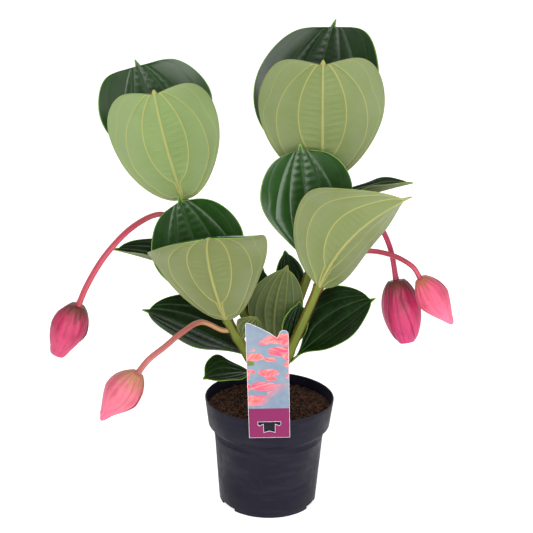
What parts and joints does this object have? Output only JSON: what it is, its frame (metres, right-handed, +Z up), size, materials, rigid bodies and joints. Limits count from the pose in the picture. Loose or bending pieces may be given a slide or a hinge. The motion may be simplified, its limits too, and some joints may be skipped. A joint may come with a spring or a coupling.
{
  "type": "potted medinilla plant",
  "caption": "Medinilla house plant with broad ribbed leaves and hanging closed pink flower buds, in a dark tapered nursery pot with a plain card clipped over its rim.",
  "frame": {"origin": "centre of the pot's flat underside, on the surface that it stands on", "axes": "+Z up along the pot's axis; -Y is the front, from which the picture looks; +X is to the right in that view"},
  "size_m": [0.5105, 0.231, 0.6263],
  "materials": {
    "pot_plastic": "thin black moulded plastic, matt with a soft sheen",
    "peat": "crumbly brown peat",
    "stem": "smooth green stem with four angles edged in red brown",
    "leaf": "thick leathery blade, glossy dark green above and pale olive green below, with raised veins",
    "stalk": "smooth pink red flower stalk with four angles",
    "bract": "satin pink bracts with fine ribs",
    "label_card": "thin glossy printed plastic card"
  },
  "bodies": {
    "root": {"pot": "pot_plastic", "soil": "peat", "stem": "stem", "leaf_left_top_front": "leaf", "leaf_left_top_back": "leaf", "leaf_right_top_front": "leaf", "leaf_right_top_back": "leaf", "leaf_left_mid_front": "leaf", "leaf_left_mid_back": "leaf", "leaf_right_mid_front": "leaf", "leaf_right_mid_back": "leaf", "leaf_left_side_upper": "leaf", "leaf_left_side_lower": "leaf", "leaf_left_low": "leaf", "leaf_right_side_upper": "leaf", "leaf_right_side_lower": "leaf", "leaf_centre_left": "leaf", "leaf_centre_back": "leaf", "leaf_centre_olive": "leaf", "leaf_centre_dark": "leaf", "leaf_centre_low": "leaf", "stalk_left_upper": "stalk", "bud_left_upper": "bract", "stalk_left_lower": "stalk", "bud_left_lower": "bract", "stalk_right_inner": "stalk", "bud_right_inner": "bract", "stalk_right_outer": "stalk", "bud_right_outer": "bract", "label": "label_card"}
  },
  "joints": []
}
